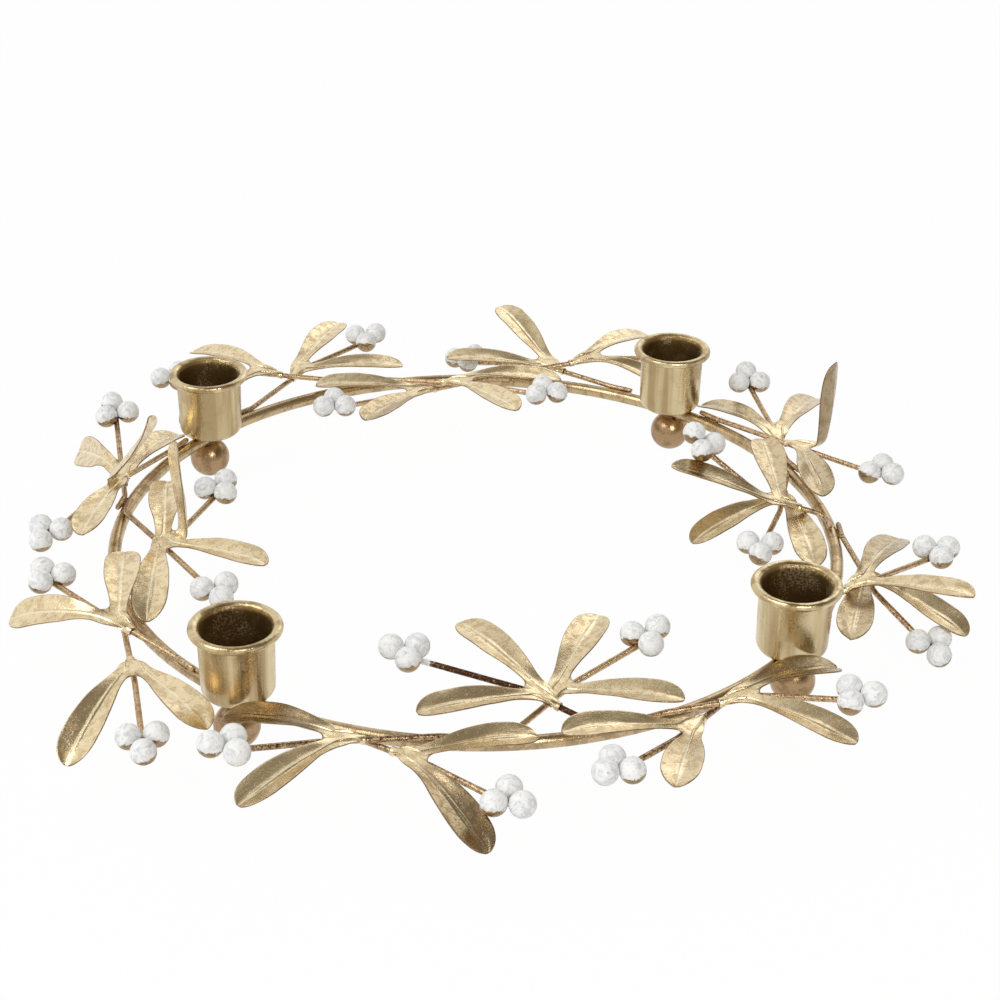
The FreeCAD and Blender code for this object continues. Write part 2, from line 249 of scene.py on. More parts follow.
def solder(shape, middle, along, size, lumps):
    """A small uneven bead of solder, longer along the joint."""
    bead = bmesh.ops.create_icosphere(
        shape, subdivisions=3, radius=1.0, matrix=Matrix.Translation(middle)
        @ facing(along, "X", "Z") @ Matrix.Diagonal(Vector(size).to_4d()))
    for vert in bead["verts"]:
        lump = noise.noise(vert.co * LUMP_PITCH + Vector((lumps, 0, 0)))
        vert.co = middle + (vert.co - middle) * (1 + LUMP_SHARE * lump)


ball_bronze = metal(
    "ball_bronze", bump=0.15, metal=colour(164, 134, 100), patches=colour(124, 96, 68),
    rubbed=colour(214, 188, 148), pits=colour(72, 52, 34), patch_scale=180.0, patch_amount=0.6,
    grain_amount=0.25, pit_amount=0.3, gloss=0.22)
solder_brown = metal(
    "solder_brown", bump=0.6, metal=colour(126, 96, 62), patches=colour(84, 60, 38),
    rubbed=colour(190, 160, 112), pits=colour(46, 30, 18), patch_scale=500.0, patch_amount=0.7,
    grain_amount=0.4, pit_amount=0.6, gloss=0.42)

for number, station in enumerate(CUP_STATIONS, 1):
    centre = at_station(station, HOOP_RADIUS + FOOT_OFFSET, FOOT_HEIGHT)
    ball = bmesh.new()
    bmesh.ops.create_uvsphere(ball, u_segments=BALL_SIDES, v_segments=BALL_RINGS, radius=FOOT_RADIUS,
                              matrix=Matrix.Translation(centre))
    bmesh.ops.bisect_plane(ball, geom=ball.verts[:] + ball.edges[:] + ball.faces[:],
                           plane_co=(0, 0, 0), plane_no=UP, clear_inner=True)
    bmesh.ops.holes_fill(ball, edges=ball.edges[:])
    piece("ball_%d" % number, ball, ball_bronze, "ball_metal", "ball_foot_%d" % number)
    joint = bmesh.new()
    along = at_station(station + 90, 1, 0)
    under = at_station(station, HOOP_RADIUS + UNDER_SOLDER_OUT, HOOP_HEIGHT - ROD_RADIUS - UNDER_SOLDER_DROP)
    over = at_station(station, HOOP_RADIUS, HOOP_HEIGHT + ROD_RADIUS)
    solder(joint, under, along, UNDER_SOLDER, station)
    solder(joint, over, along, OVER_SOLDER, station + OVER_LUMPS)
    piece("foot_solder_%d" % number, joint, solder_brown, "rod_metal")


# Candle cups. Each is drawn from thin brass sheet with a rounded bottom corner, and its mouth
# is rolled outwards to a bead. Outside is satin brass with faint upright streaks from the
# drawing in its relief, and darker upright bands of painted reflection in its colour; inside
# is dark and dusty.
CUP_HEIGHT = 25.2
CUP_BORE_RADIUS = 11.2
CUP_BASE_RADIUS = 11.7
CUP_MOUTH_RADIUS = 12.1
CUP_CORNER = 3.2
CUP_INNER_CORNER = 2.7
CUP_FLOOR = 0.9
CUP_STEPS = 96
CUP_SEAT = HOOP_HEIGHT + ROD_RADIUS - WELD_BITE
RIM_RADIUS = 14.85
RIM_ROLL = 1.35
WALL_STOPS_BELOW_ROLL = 0.95
ROLL_FROM, ROLL_TO = -142, 90
FLARE_FROM, FLARE_TO = 98, 180
BORE_DEPTHS = (2, 7, 13)
BASE_RING = CUP_BASE_RADIUS - CUP_CORNER - 2
FLOOR_RING = 4
BRIGHT_FLARE_POINTS = 4
SAME_PLACE = 0.001
STREAK_STRETCH = 0.05


def arc(x, z, radius, first, last, count):
    """Points of the cup's section round a corner, from one angle to another."""
    angles = [radians(first + (last - first) * i / count) for i in range(count + 1)]
    return [Vector((x + radius * cos(a), 0, z + radius * sin(a))) for a in angles]


def graded(tree, value, *stops):
    """A colour that follows a value, from the colour at one stop to the next."""
    ramp = node(tree, "ValToRGB", {"Fac": value})
    for i, (position, tint) in enumerate(stops):
        ramp.color_ramp.elements[i].position = position
        ramp.color_ramp.elements[i].color = tint
    return ramp.outputs["Color"]


def mark(tree, name):
    """Reads a value that the piece's points carry."""
    return node(tree, "Attribute", {}, attribute_name=name).outputs["Fac"]


roll_centre = RIM_RADIUS - RIM_ROLL
flare = roll_centre - CUP_BORE_RADIUS
wall_top = CUP_HEIGHT - RIM_ROLL - RIM_ROLL * sin(radians(45)) - WALL_STOPS_BELOW_ROLL
outside = [Vector((0, 0, 0)), Vector((BASE_RING, 0, 0))]
outside += arc(CUP_BASE_RADIUS - CUP_CORNER, CUP_CORNER, CUP_CORNER, -90, 0, 8)
outside += [Vector((CUP_BASE_RADIUS + (CUP_MOUTH_RADIUS - CUP_BASE_RADIUS) * share, 0,
                    CUP_CORNER + (wall_top - CUP_CORNER) * share))
            for share in (0.25, 0.5, 0.75, 1.0)]
outside += arc(roll_centre, CUP_HEIGHT - RIM_ROLL, RIM_ROLL, ROLL_FROM, ROLL_TO, 16)
inside = arc(roll_centre, CUP_HEIGHT - flare, flare, FLARE_FROM, FLARE_TO, 8)
inside += [Vector((CUP_BORE_RADIUS, 0, CUP_HEIGHT - flare - depth)) for depth in BORE_DEPTHS]
inside += arc(CUP_BORE_RADIUS - CUP_INNER_CORNER, CUP_FLOOR + CUP_INNER_CORNER,
              CUP_INNER_CORNER, 0, -90, 6)
inside += [Vector((FLOOR_RING, 0, CUP_FLOOR)), Vector((0, 0, CUP_FLOOR))]

cup_brass = metal(
    "cup_brass", bump=0.16, metal=colour(210, 191, 150), patches=colour(170, 148, 106),
    rubbed=colour(226, 212, 174), pits=colour(116, 94, 60), patch_scale=120.0, patch_amount=0.15,
    grain_scale=2000.0, grain_amount=0.3, pit_amount=0.15, gloss=0.24)
tree = cup_brass.node_tree
mottled = tree.nodes["mottling"].outputs
place = node(tree, "TexCoord", {}).outputs["Object"]
hollow = mark(tree, "hollow")

# Inside, pale dust lies in spots on the dark metal
settled = maths(tree, "MULTIPLY", speckle(tree, place, scale=1500, detail=4), speckle(tree, place, scale=90))
dust = graded(tree, settled, (0.27, colour(140, 114, 70)), (0.36, colour(214, 196, 158)))

# Outside, the drawing left upright streaks in relief, and the colour has darker upright bands of painted
# reflection on the same pattern
stretched = node(tree, "Mapping", {"Vector": place, "Scale": (1, 1, STREAK_STRETCH)}).outputs["Vector"]
drawn_streaks_and_reflection_bands = speckle(tree, stretched, scale=200, detail=3)
painted_reflection_bands = between(tree, drawn_streaks_and_reflection_bands, low=0.44, high=0.62, end=0.65)
# Painted reflection: dark brown upright bands mixed into the outside colour
with_painted_reflection_bands = mixed(tree, painted_reflection_bands, mottled["Color"], colour(146, 118, 76))
drawn = node(tree, "Bump", {"Strength": 0.6, "Distance": 0.0008, "Height": drawn_streaks_and_reflection_bands})
feed(tree, tree.nodes["relief"], {"Normal": drawn.outputs["Normal"]})

feed(tree, tree.nodes["Principled BSDF"], {
    "Base Color": mixed(tree, hollow, with_painted_reflection_bands, dust),
    "Roughness": maths(tree, "MULTIPLY_ADD", hollow, 0.25, mottled["Roughness"])})

for number, station in enumerate(CUP_STATIONS, 1):
    cup = bmesh.new()
    darkness = cup.verts.layers.float.new("hollow")
    line = []
    for place in outside + inside:
        vert = cup.verts.new(place)
        vert[darkness] = 1.0 if place in inside[BRIGHT_FLARE_POINTS:] else 0.0
        line.append(vert)
    edges = [cup.edges.new(pair) for pair in zip(line, line[1:])]
    bmesh.ops.spin(cup, geom=line + edges, axis=UP, cent=(0, 0, 0), angle=2 * pi,
                   steps=CUP_STEPS, use_merge=True)
    bmesh.ops.remove_doubles(cup, verts=cup.verts, dist=SAME_PLACE)
    bmesh.ops.recalc_face_normals(cup, faces=cup.faces[:])
    bmesh.ops.translate(cup, verts=cup.verts, vec=at_station(station, HOOP_RADIUS, CUP_SEAT))
    piece("cup_%d" % number, cup, cup_brass, "cup_metal", "candle_cup_%d" % number)


# Sprigs. Each is one wire with a stamped pair of leaves at its fork and three berries at its end.
# They are soldered to the rod in crossed pairs, and every one is bent by hand in its own way.
Sprig = namedtuple("Sprig", "weld fork out level stem left right berry_turn stem_share", defaults=(1.0,))

# The stations of the weld and of the fork, in degrees round the ring, how far out and how high
# the fork is, the stem's turn and rise, each leaf's turn, rise, length, roll and bow, how far the
# berries are turned, and the stem's length where it isn't the usual one
SPRIGS = [Sprig(*row) for row in (
    (303, 288, 0.90, 0, (-5, 5), (25, 9, 0.97, 0, 0.08), (-34, 7, 0.98, 0, 0.08), -5),
    (287, 299.5, 0.86, 1, (-22, 6), (23, -8, 0.95, 0, 0.1), (-46, -1, 0.97, 0, 0.05), 7),
    (352, 337.8, 0.85, -0.9, (22, -15), (31, -7, 0.97, 0, 0.06), (-26, 1, 1, 0, 0.04), -12),
    (330.5, 335, 0.86, 1.1, (24, -4), (47, -8, 1, 0, 0.06), (-51, 12, 1, 0, 0.06), -5),
    (14, 2.3, -0.95, -0.6, (-8, -2), (19, -6, 1, 0, 0.05), (-43, -9, 1, 0, 0.08), 15),
    (355.5, 359.2, -1.35, 1.3, (-20, 30), (0, 17, 0.98, 0, 0.05), (-79, 5, 1, 0, 0.05), -10),
    (15.5, 26, 0.83, 0, (8, 10), (30, -9, 1, 0, 0.08), (-34, -6, 0.98, 0, 0.1), -8),
    (35.5, 15, 0.65, 1, (3, 3), (-6, 81, 0.94, 17, -0.04), (-40, 1, 1, 0, 0.06), 0),
    (76, 61.5, 1.05, 1, (-16, 2), (35, -8, 1, 0, 0.1), (-30, -16, 1, 0, 0.08), 0),
    (55.5, 70.5, 0.95, -0.4, (18, -9), (34, 2, 1, 0, 0.05), (-21, 13, 1, 0, 0.06), 0, 1.05),
    (100, 83, -1.15, 1, (-4, 1), (26, -6, 0.98, 0, 0.06), (-40, 6, 1, 0, 0.05), 2),
    (78, 95.3, -1.10, 0, (-5, 0), (31, 6, 0.98, 0, 0.05), (-31, -1, 0.97, 0, 0.06), 10),
    (125.5, 109.5, 1.35, 0, (-21, 5), (5, 3, 0.98, 0, 0.06), (-55, -1, 1, 0, 0.06), -7),
    (103.5, 118.5, 1.40, 1, (8, -5), (40, -18, 1, 0, 0.05), (-39, -8, 1, 0, 0.06), 0),
    (162.5, 153.7, 0.73, 0, (0, 14), (18, -16, 1, -55, 0.05), (-34.5, -5.5, 0.92, 0, 0.1), 12),
    (143.2, 162.5, 0.50, 1.15, (-8, -12), (16, 0, 0.98, 5, 0.05), (-100, 122, 0.96, 16, 0.1), 13),
    (189.5, 176, -1.35, -0.1, (0, 6), (30, 0, 1, 0, 0.05), (-20, 87, 0.95, -19, 0), 0),
    (165.8, 184.5, -1.25, 1.1, (6, -4), (30, 4, 0.98, 0, 0.06), (-30, -9, 1, 0, 0.08), -12),
    (214.5, 200.5, 0.70, 1, (-8, 0), (14, -15, 0.96, -28, 0.1), (-48, 1, 0.98, 0, 0.05), -10),
    (193, 213.4, 1.20, 0, (-2, -8), (24, -2, 0.98, 0, 0.06), (-35, -17, 1, 0, 0.08), -2),
    (257.8, 243.3, 1.05, 1, (11, 10), (34, -4, 1, 0, 0.06), (-35.5, -8, 0.97, 0, 0.1), -11),
    (239, 255, 1.00, 0, (-5, -1), (49, -2, 0.95, 0, 0.06), (-21, -15, 1, 0, 0.08), 5),
    (279.5, 270, -1.15, 1, (12, 5), (52, 3, 0.98, 0, 0.06), (-20, 5, 1, 0, 0.06), 0, 1.3),
    (265.2, 277.5, -1.51, 0, (-22, 14), (15, 2, 1, 0, 0.06), (-71, 6, 0.98, 0, 0.06), 10),
)]
PAIRS = [SPRIGS[first:first + 2] for first in range(0, len(SPRIGS), 2)]
WIRE_RADIUS = 1.0
WIRE_LEAN = 40.0
UPPER_LEAN_STEP = 30.0
WELD_GAP = 0.15
STUB_LENGTH = 6.0
LEAD_LENGTH = 3.0
STEM_LENGTH = 32.0
BEND_RADIUS = 8.0
FORK_REACH = 15.0
FORK_RISE = 3.0
CROSSING_STEP = 3.6
STEM_BEND = 2.5


def direction(heading, rise):
    """The way that runs at a heading and rises at an angle, both in degrees."""
    level = cos(radians(rise))
    return Vector((level * cos(radians(heading)), level * sin(radians(heading)), sin(radians(rise))))


def heading_of(way):
    """The heading of a way, in degrees from the right."""
    return degrees(atan2(way.y, way.x))


def sprig_route(sprig):
    """The wire's corner points, its fork, the way it runs there and the way of the stem."""
    side = 1 if sprig.out > 0 else -1
    reach = ROD_RADIUS + WIRE_RADIUS + WELD_GAP
    lean = radians(WIRE_LEAN + (UPPER_LEAN_STEP if sprig.level > 0 else 0))
    contact = at_station(sprig.weld, HOOP_RADIUS + side * reach * cos(lean), HOOP_HEIGHT + reach * sin(lean))
    turn = (sprig.fork - sprig.weld + 180) % 360 - 180
    along = direction(sprig.weld + (90 if turn > 0 else -90), 0)
    fork = at_station(sprig.fork, HOOP_RADIUS + sprig.out * FORK_REACH,
                      HOOP_HEIGHT + FORK_RISE + sprig.level * CROSSING_STEP)
    lift = contact + along * LEAD_LENGTH
    axis = (fork - lift).normalized()
    bend = fork + axis * STEM_BEND
    stem_turn, stem_rise = sprig.stem
    stem = direction(heading_of(axis) + stem_turn, stem_rise)
    end = bend + stem * (STEM_LENGTH * sprig.stem_share - STEM_BEND)
    return [contact - along * STUB_LENGTH, lift, bend, end], fork, axis, stem


# Sprig wires. Each is a length of round wire with its foot soldered along the rod, bent once
# away from it and once past the fork. They are browner than the leaves, and blotched.
WIRE_SIDES = 14
WIRE_END_SHARE = 0.82
WIRE_WOBBLE = 0.05
WOBBLE_PITCH = 0.35
USUAL_TARNISH = 0.35
TARNISH_SPREAD = 0.2
TARNISH_PITCH = 0.05
USUAL_SPLASH = 0.35
SPLASHED_STATIONS = 6
FIRST_STEP = 0.1
LONGEST_BEND = 0.45
BEND_SHARES = (0, 0.17, 0.33, 0.5, 0.67, 0.83, 1)
STEM_SHARES = (0.2, 0.4, 0.6, 0.7, 0.8, 0.9, 0.97, 1)

# How dark some wires are, by the station of the weld: tarnish, and on the wires in front also painted shade;
# and one that the white paint ran down
TARNISH_AND_FRONT_SHADE = {279.5: 0.72, 265.2: 0.3, 257.8: 0.5, 303: 0.5, 352: 0.45, 239: 0.45}
SPLASHED = {279.5: 2.3}

wire_bronze = metal(
    "wire_bronze", bump=0.5, metal=colour(200, 171, 132), patches=colour(148, 116, 90),
    rubbed=colour(226, 202, 160), pits=colour(70, 48, 34), patch_scale=520.0, patch_amount=0.7,
    grain_amount=0.45, pit_amount=0.5, gloss=0.27)
tree = wire_bronze.node_tree
flecks = speckle(tree, node(tree, "TexCoord", {}).outputs["Object"], scale=1100, detail=4)
skin = tree.nodes["mottling"].outputs["Color"]
# The dark brown coat is tarnish, and on the wires in front it is also painted shade
for name, tint, low, high in (("tarnish_and_shade", colour(74, 48, 32), 0.86, 1.18),
                              ("splash", colour(232, 232, 230), 1.20, 1.28)):
    coat = between(tree, maths(tree, "ADD", mark(tree, name), flecks), low, high)
    skin = mixed(tree, coat, skin, tint)
# The last coat is the splash of paint, which isn't metal
feed(tree, tree.nodes["Principled BSDF"], {
    "Base Color": skin, "Metallic": maths(tree, "SUBTRACT", 1.0, coat)})


def wire_stations(points):
    """Places along the bent wire, close together round its bends and near its end."""
    places = [points[0], points[0].lerp(points[1], FIRST_STEP)]
    for before, corner, after in zip(points, points[1:], points[2:]):
        into, out = (corner - before).normalized(), (after - corner).normalized()
        half = acos(max(-1.0, min(1.0, into.dot(out)))) / 2
        straight = min((corner - before).length, (after - corner).length)
        trim = min(LONGEST_BEND * straight, BEND_RADIUS * tan(half))
        first, last = corner - into * trim, corner + out * trim
        reach = hypot(trim / tan(half), trim) - trim / tan(half)
        middle = corner + (out - into).normalized() * reach
        pull = middle * 2 - (first + last) / 2
        for share in BEND_SHARES:
            places.append(first * (1 - share) ** 2 + pull * 2 * share * (1 - share) + last * share ** 2)
    start = places[-1]
    places += [start.lerp(points[-1], share) for share in STEM_SHARES]
    return places


def add_wire(wires, sprig, tarnish_and_shade, splash):
    """Lays rings of points along one wire and joins them, with its tarnish, which is also painted shade on
    the wires in front, and its splash.
    """
    places = wire_stations(sprig_route(sprig)[0])
    browning = TARNISH_AND_FRONT_SHADE.get(sprig.weld, USUAL_TARNISH + TARNISH_SPREAD * noise.noise(places[-1] * TARNISH_PITCH))
    before = None
    for i, place in enumerate(places):
        way = (places[min(i + 1, len(places) - 1)] - places[max(i - 1, 0)]).normalized()
        ends = WIRE_END_SHARE if i in (0, len(places) - 1) else 1.0
        wobble = 1 + WIRE_WOBBLE * noise.noise(place * WOBBLE_PITCH)
        ring = bmesh.ops.create_circle(
            wires, segments=WIRE_SIDES, radius=WIRE_RADIUS * ends * wobble,
            matrix=Matrix.Translation(place) @ facing(way))["verts"]
        near_end = max(0, i - len(places) + SPLASHED_STATIONS) / (SPLASHED_STATIONS - 1)
        for vert in ring:
            vert[tarnish_and_shade] = browning
            vert[splash] = SPLASHED.get(sprig.weld, USUAL_SPLASH) * near_end
        loop = [edge for edge in wires.edges if edge.verts[0] in ring and edge.verts[1] in ring]
        if before:
            bmesh.ops.bridge_loops(wires, edges=before + loop)
        before = loop


for number, pair in enumerate(PAIRS, 1):
    wires = bmesh.new()
    tarnish_and_shade, splash = (wires.verts.layers.float.new(name) for name in ("tarnish_and_shade", "splash"))
    for sprig in pair:
        add_wire(wires, sprig, tarnish_and_shade, splash)
    bmesh.ops.holes_fill(wires, edges=wires.edges[:])
    bmesh.ops.recalc_face_normals(wires, faces=wires.faces[:])
    piece("wires_%02d" % number, wires, wire_bronze, "rod_metal", "twig_pair_%02d" % number)


# Solder at the sprigs. Two small brown lumps of solder hold each wire to the rod, where it
# lies along the rod's upper side.
SPRIG_SOLDER = Vector((2.1, 1.05, 0.75))
SPRIG_LUMPS = ((-1.6, 1.0), (0.5, 1.15))

beads = bmesh.new()
for sprig in SPRIGS:
    foot, lift = sprig_route(sprig)[0][:2]
    along = (lift - foot).normalized()
    rod_line = at_station(sprig.weld, HOOP_RADIUS, HOOP_HEIGHT)
    contact = foot + along * STUB_LENGTH
    touch = rod_line.lerp(contact, ROD_RADIUS / (ROD_RADIUS + WIRE_RADIUS + WELD_GAP))
    for shift, share in SPRIG_LUMPS:
        solder(beads, touch + along * shift, along, SPRIG_SOLDER * share, sprig.weld + shift)
piece("sprig_solder", beads, solder_brown, "rod_metal")


# Leaf pairs. Two mistletoe leaves stamped from thin brass in one piece: each has a raised midrib
# in a shallow trough, and the web between them folds round the wire behind the fork.
LEAF_LENGTH = 39.0
LEAF_WIDTH = 12.2
LEAF_SHEET = 0.5
LEAF_TROUGH = 1.9
TROUGH_POWER = 1.15
LEAF_RIB = 0.6
RIB_HALF_WIDTH = 0.15
RIB_POWER = 1.5
RIB_FADES_FROM = 0.8
LEAF_STATION_SHARES = (0.0, 0.14, 0.30, 0.47, 0.64, 0.79)
LEAF_WIDTH_SHARES = (0.459, 0.47, 0.61, 0.84, 0.985, 1.0)
LEAF_TROUGH_SHARES = (0.0, 0.35, 0.80, 1.0, 1.0, 0.90)
TIP_START = LEAF_STATION_SHARES[-1]
TIP_END_SHARE = 0.16
ACROSS_SHARES = (-1, -0.93, -0.78, -0.58, -0.38, -0.2, -0.1, 0, 0.1, 0.2, 0.38, 0.58, 0.78, 0.93, 1)
ROWS_ALONG = 26
NECK_HANDLE = 0.22
BOW_HANDLE = 0.62
ROLL_RUN = 0.4
NECK_RUN = 0.14
EVEN_NECK = 0.25
DENT_DEPTH = 0.28
DENTS_ALONG, DENTS_ACROSS = 3.1, 1.2
DENT_PITCH = 1.7
EDGE_WAVE = 0.035
EDGE_PITCH = 5
SECOND_LEAF_SHIFT = 0.3
RIB_WEAR_AND_HIGHLIGHT_HALF_WIDTH = 0.16
RIM_FROM = 0.9
TIP_RIM_FROM = 0.985
NECK_WIDTH = 5.6
CLEFT_RADIUS = 0.5
CLEFT_DEPTH = 0.9
CLEFT_SPREAD = 1.4
WEB_HEIGHT = 1.75
WEB_ROWS = 8
WEB_NARROWING = 1.3
WEB_FOLDING = 4
WEB_RIB_SHARE = 0.48
WEB_RIB_COLUMNS = 2
WEB_RIB_WEAR_AND_HIGHLIGHT = 0.8
TAB_LENGTH = 11.5
SHOULDER_LENGTH = 10.0
TAB_ROWS = 2
TAB_RADIUS = 1.35
TAB_WRAP = 250.0
SAME_SEAM = 0.01

# How much browner some leaves are, by the station of the weld and the hand: 1 left, -1 right
BROWNER_LEAVES = {(257.8, -1): 0.6, (239, -1): 0.5, (287, 1): 0.4, (287, -1): 0.15, (35.5, 1): 0.65, (35.5, -1): 0.3,
        (330.5, 1): 0.35, (330.5, -1): 0.1, (352, -1): 0.35, (352, 1): 0.1, (15.5, 1): 0.25, (15.5, -1): 0.25,
        (355.5, 1): 0.25, (355.5, -1): 0.25, (14, 1): 0.1, (14, -1): 0.15, (78, 1): 0.35, (78, -1): 0.15,
        (279.5, 1): 0.12, (279.5, -1): 0.12, (265.2, 1): 0.12, (265.2, -1): 0.12, (303, 1): 0.1}


def eased(stations, shares, station):
    """A smooth line through shares given at stations."""
    last = len(stations) - 1
    i = max(j for j in range(last) if stations[j] <= station)
    slopes = []
    for j in (i, i + 1):
        a, b = max(0, j - 1), min(last, j + 1)
        slopes.append((shares[b] - shares[a]) / (stations[b] - stations[a]))
    span = stations[i + 1] - stations[i]
    t = (station - stations[i]) / span
    return (shares[i] * (1 + 2 * t) * (1 - t) ** 2 + slopes[0] * span * t * (1 - t) ** 2
            + shares[i + 1] * t * t * (3 - 2 * t) + slopes[1] * span * t * t * (t - 1))


def leaf_share(shares, station):
    """A share along the leaf, which rounds off like an ellipse at the tip."""
    if station > TIP_START:
        return shares[-1] * max(TIP_END_SHARE, sqrt(1 - ((station - TIP_START) / (1 - TIP_START)) ** 2))
    return eased(LEAF_STATION_SHARES, shares, station)


def station_of(row):
    """Rows of points lie closer together towards the tip."""
    return sin(pi / 2 * row / ROWS_ALONG)


def blade_point(pivot, axis, lifted, leaf, hand, seed):
    """Gives the place on a leaf for a station along it and a share across it."""
    turn, rise, length_share, roll, bow_share = leaf
    heading = heading_of(axis) + turn
    length = LEAF_LENGTH * length_share
    neck_side = Quaternion(lifted, radians(turn - hand * 90)) @ axis
    neck_way = Quaternion(lifted, radians(turn)) @ axis
    base = pivot - neck_side * (NECK_WIDTH / 2 + CLEFT_RADIUS)
    level_side = direction(heading - hand * 90, 0)
    way, normal = direction(heading, rise), direction(heading, rise + 90)
    poles = (base, base + neck_way * length * NECK_HANDLE,
             base + way * length * BOW_HANDLE + normal * length * bow_share, base + way * length)

    def point(station, across):
        t, s = station, 1 - station
        spine = poles[0] * s ** 3 + poles[1] * 3 * s * s * t + poles[2] * 3 * s * t * t + poles[3] * t ** 3
        tangent = ((poles[1] - poles[0]) * s * s + (poles[2] - poles[1]) * 2 * s * t
                   + (poles[3] - poles[2]) * t * t).normalized()
        twisted = Quaternion(tangent, radians(roll * min(1.0, station / ROLL_RUN))) @ level_side
        settle = min(1.0, station / NECK_RUN)
        side = neck_side.lerp(twisted, settle * settle * (3 - 2 * settle)).normalized()
        face = (tangent.cross(side) * -hand).normalized() if station else lifted
        half = LEAF_WIDTH / 2 * leaf_share(LEAF_WIDTH_SHARES, station)
        trough = LEAF_TROUGH * leaf_share(LEAF_TROUGH_SHARES, station) if station else 0
        fade = 1 - max(0, station - RIB_FADES_FROM) / (1 - RIB_FADES_FROM)
        rib = LEAF_RIB * max(0, 1 - abs(across) / RIB_HALF_WIDTH) ** RIB_POWER * fade
        unevenness = min(1, station / EVEN_NECK)
        dented = Vector((station * DENTS_ALONG, across * DENTS_ACROSS, seed)) * DENT_PITCH
        dent = DENT_DEPTH * noise.noise(dented) * unevenness
        edge = 1 + EDGE_WAVE * noise.noise(Vector((station * EDGE_PITCH, seed, across))) * unevenness
        raised = trough * abs(across) ** TROUGH_POWER + rib + dent
        return spine + side * half * across * edge + face * raised
    return point


def leaf_rows(shape, layers, columns, rows, place):
    """A sheet of the stamping: a flat grid whose points are moved to their places."""
    grid = bmesh.ops.create_grid(shape, x_segments=columns, y_segments=rows, size=0.5)["verts"]
    for vert in grid:
        i, j = round((vert.co.x + 0.5) * columns), round((vert.co.y + 0.5) * rows)
        vert.co, marks = place(i, j)
        for layer, value in zip(layers, marks):
            vert[layer] = value


def leaf_pair(sprig, seed):
    """One stamping: two blades, the web behind them that folds to the tab, and the cleft.

    Its points are marked where they are on the rib, which is rubbed paler and carries a painted highlight, or
    on the rim, and with the leaf's brownness.
    """
    fork, axis = sprig_route(sprig)[1:3]
    lifted = axis.cross(UP.cross(axis)).normalized()
    left_of = lifted.cross(axis)
    pivot = fork + lifted * WEB_HEIGHT
    cleft = pivot - axis * CLEFT_RADIUS
    pair = bmesh.new()
    layers = [pair.verts.layers.float.new(name) for name in ("rib", "rim", "browning")]
    blades = [blade_point(pivot, axis, lifted, leaf, hand, seed + hand * SECOND_LEAF_SHIFT)
              for leaf, hand in ((sprig.left, 1), (sprig.right, -1))]

    for blade, hand in zip(blades, (1, -1)):
        brown = BROWNER_LEAVES.get((sprig.weld, hand), 0)

        def on_blade(i, j):
            station, across = station_of(j), ACROSS_SHARES[i]
            # The rib mark: rubbed paler metal and a painted highlight along the midrib
            rib = max(0, 1 - abs(across) / RIB_WEAR_AND_HIGHLIGHT_HALF_WIDTH)
            rim = max(0, (abs(across) - RIM_FROM) / (1 - RIM_FROM),
                      (station - TIP_RIM_FROM) / (1 - TIP_RIM_FROM))
            return blade(station, across), (rib, rim, brown * min(1, station / EVEN_NECK))
        leaf_rows(pair, layers, len(ACROSS_SHARES) - 1, ROWS_ALONG, on_blade)

    front = [blades[0](0, share) for share in ACROSS_SHARES] + [cleft]
    front += [blades[1](0, -share) for share in ACROSS_SHARES]
    last = len(front) - 1
    middle = len(ACROSS_SHARES) // 2

    def on_web(i, j):
        angle = radians((0.5 - i / last) * TAB_WRAP)
        sleeve = left_of * TAB_RADIUS * sin(angle) + lifted * TAB_RADIUS * cos(angle)
        on_edge = i in (0, last)
        if j > WEB_ROWS:
            back = SHOULDER_LENGTH + (TAB_LENGTH - SHOULDER_LENGTH) * (j - WEB_ROWS) / TAB_ROWS
            return fork + sleeve - axis * back, (0, on_edge or j == WEB_ROWS + TAB_ROWS, 0)
        share = j / WEB_ROWS
        start, end = front[i] - fork, sleeve - axis * SHOULDER_LENGTH
        ribs = max(0, 1 - min(abs(i - middle), abs(i - last + middle)) / WEB_RIB_COLUMNS)
        place = fork
        for way, run in ((axis, share), (left_of, share ** WEB_NARROWING), (lifted, share ** WEB_FOLDING)):
            place = place + way * (start.dot(way) + (end.dot(way) - start.dot(way)) * run)
        place = place + lifted * LEAF_RIB * WEB_RIB_SHARE * ribs * share * (1 - share) * 4
        # The rib mark runs onto the web's folds: rubbed paler metal and a painted highlight
        return place, (ribs * (1 - share) * WEB_RIB_WEAR_AND_HIGHLIGHT, on_edge, 0)

    leaf_rows(pair, layers, last, WEB_ROWS + TAB_ROWS, on_web)

    inner = [[blade(station_of(j), 1) for blade in blades] for j in range(3)]
    depth = 2 if (inner[2][0] - inner[2][1]).length < NECK_WIDTH * CLEFT_SPREAD else 1

    def on_cleft(i, j):
        left, right = inner[j]
        if i != 1:
            return (left, right)[i // 2], (0, 1, 0)
        if j == 0:
            return cleft, (0, 0, 0)
        return (left + right) / 2 - axis * CLEFT_DEPTH * j / depth, (0, j == depth, 0)

    leaf_rows(pair, layers, 2, depth, on_cleft)
    bmesh.ops.remove_doubles(pair, verts=pair.verts, dist=SAME_SEAM)
    bmesh.ops.recalc_face_normals(pair, faces=pair.faces[:])
    return pair


leaf_gold = metal(
    "leaf_gold", bump=0.3, metal=colour(232, 212, 171), patches=colour(188, 160, 115),
    rubbed=colour(247, 238, 208), pits=colour(112, 84, 50), patch_scale=380.0, patch_amount=0.6,
    grain_scale=1500.0, grain_amount=0.3, pit_amount=0.5, vein_amount=0.2, gloss=0.22)
tree = leaf_gold.node_tree
skin = tree.nodes["mottling"].outputs["Color"]
